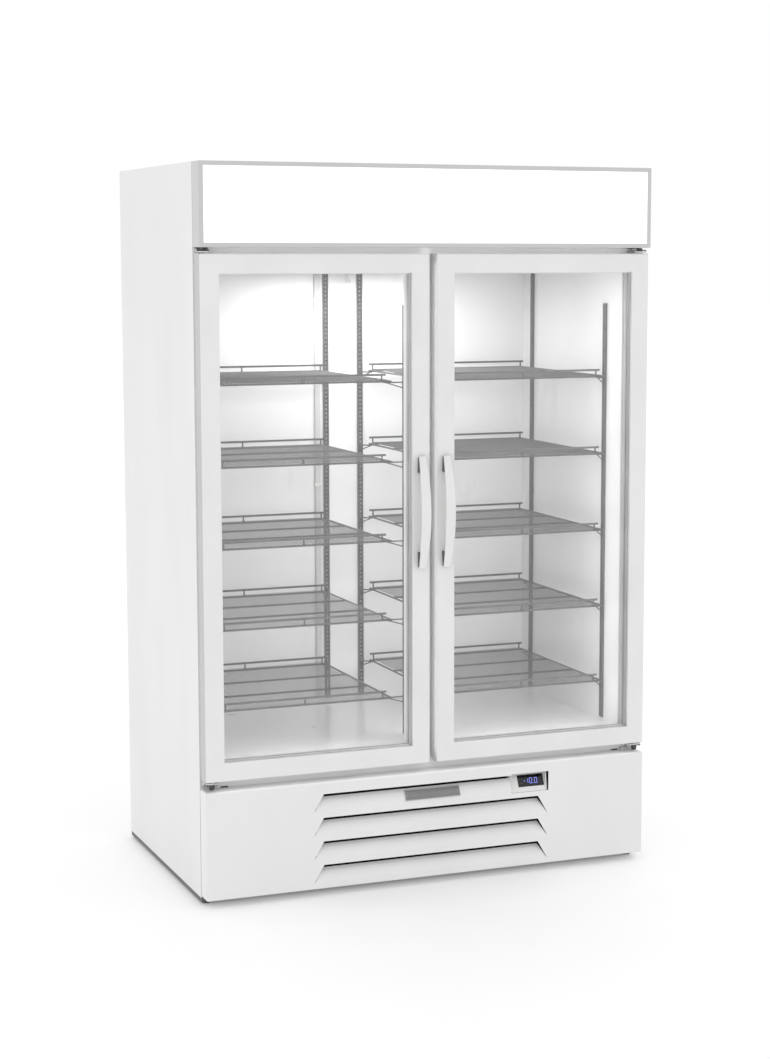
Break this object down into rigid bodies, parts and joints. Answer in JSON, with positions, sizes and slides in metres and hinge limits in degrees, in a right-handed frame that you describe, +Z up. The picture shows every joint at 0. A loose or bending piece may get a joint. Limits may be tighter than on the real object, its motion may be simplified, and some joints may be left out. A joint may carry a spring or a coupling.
{
  "type": "glass door merchandiser",
  "caption": "Upright refrigerated display cabinet with a lit sign header, paired hinged glass doors, wire shelves and a louvred base that holds the refrigeration unit.",
  "frame": {"origin": "on the floor, under the centre of the whole object's bounding box, handles included", "axes": "+Z up, the doors face -Y, X runs across the cabinet"},
  "size_m": [1.32, 0.856, 2],
  "materials": {
    "white_paint": "semi-gloss white powder coat on steel",
    "grey_paint": "satin grey coated steel",
    "grey_trim": "satin light grey coated steel",
    "white_plastic": "semi-gloss white extruded and moulded plastic",
    "foam": "rigid foamed-in-place insulation",
    "liner_white": "white coated liner sheet",
    "sign_white": "translucent white sign sheet",
    "lamp_white": "frosted lamp diffuser",
    "glass": "clear insulated glass",
    "gasket": "matte grey magnetic gasket",
    "epoxy_grey": "grey epoxy coat on steel wire and channel",
    "zinc_steel": "zinc-plated steel",
    "base_grey": "matte dark grey coated steel",
    "black_paint": "black enamel",
    "aluminium": "mill-finish fins",
    "black_plastic": "black moulded plastic",
    "badge_grey": "dark brushed plate, blank"
  },
  "bodies": {
    "cabinet": {"back_panel": "grey_paint", "badge_plate": "badge_grey", "base_pan": "base_grey", "center_mullion": "grey_trim", "compressor": "black_paint", "condenser_coil": "aluminium", "condenser_fan_motor": "black_paint", "door_sill": "grey_trim", "drain_pan": "black_plastic", "evaporator_coil": "aluminium", "evaporator_cover": "liner_white", "evaporator_fan_motor": "zinc_steel", "grille_panel": "white_paint", "hinge_bracket_bottom_left": "zinc_steel", "hinge_bracket_bottom_right": "zinc_steel", "hinge_bracket_top_left": "zinc_steel", "hinge_bracket_top_right": "zinc_steel", "inner_liner": "liner_white", "insulation_foam": "foam", "leveling_foot_front_left": "zinc_steel", "leveling_foot_front_right": "zinc_steel", "leveling_foot_rear_left": "zinc_steel", "leveling_foot_rear_right": "zinc_steel", "mullion_lamp": "lamp_white", "pilaster_left_center_front": "epoxy_grey", "pilaster_left_center_rear": "epoxy_grey", "pilaster_left_wall_front": "epoxy_grey", "pilaster_left_wall_rear": "epoxy_grey", "pilaster_right_center_front": "epoxy_grey", "pilaster_right_center_rear": "epoxy_grey", "pilaster_right_wall_front": "epoxy_grey", "pilaster_right_wall_rear": "epoxy_grey", "rear_grille": "grey_paint", "shelf_left_1": "epoxy_grey", "shelf_left_2": "epoxy_grey", "shelf_left_3": "epoxy_grey", "shelf_left_4": "epoxy_grey", "shelf_left_5": "epoxy_grey", "shelf_right_1": "epoxy_grey", "shelf_right_2": "epoxy_grey", "shelf_right_3": "epoxy_grey", "shelf_right_4": "epoxy_grey", "shelf_right_5": "epoxy_grey", "side_panel_left": "white_paint", "side_panel_right": "white_paint", "sign_housing": "grey_trim", "sign_lamp": "lamp_white", "sign_panel": "sign_white", "temperature_display": "white_plastic", "top_panel": "grey_paint"},
    "door_left": {"door_frame_left": "white_plastic", "door_glass_left": "glass", "door_gasket_left": "gasket", "door_handle_left": "white_plastic"},
    "door_right": {"door_frame_right": "white_plastic", "door_glass_right": "glass", "door_gasket_right": "gasket", "door_handle_right": "white_plastic"},
    "condenser_fan": {"condenser_fan_blade": "black_plastic"},
    "evaporator_fan": {"evaporator_fan_blade": "black_plastic"}
  },
  "joints": [
    {"name": "door_left_hinge", "type": "hinge", "parent": "cabinet", "child": "door_left", "pos_m": [-0.638, -0.37, 0.351], "axis": [0, 0, -1], "range_deg": [0, 125], "stiffness_Nm_per_rad": 0.9, "springref_deg": -20.05},
    {"name": "door_right_hinge", "type": "hinge", "parent": "cabinet", "child": "door_right", "pos_m": [0.638, -0.37, 0.351], "axis": [0, 0, 1], "range_deg": [0, 125], "stiffness_Nm_per_rad": 0.9, "springref_deg": -20.05},
    {"name": "condenser_fan_spin", "type": "hinge", "parent": "cabinet", "child": "condenser_fan", "pos_m": [-0.12, -0.194, 0.1348], "axis": [0, 1, 0], "continuous": true},
    {"name": "evaporator_fan_spin", "type": "hinge", "parent": "cabinet", "child": "evaporator_fan", "pos_m": [0, -0.1, 1.756], "axis": [0, 0, 1], "continuous": true}
  ]
}
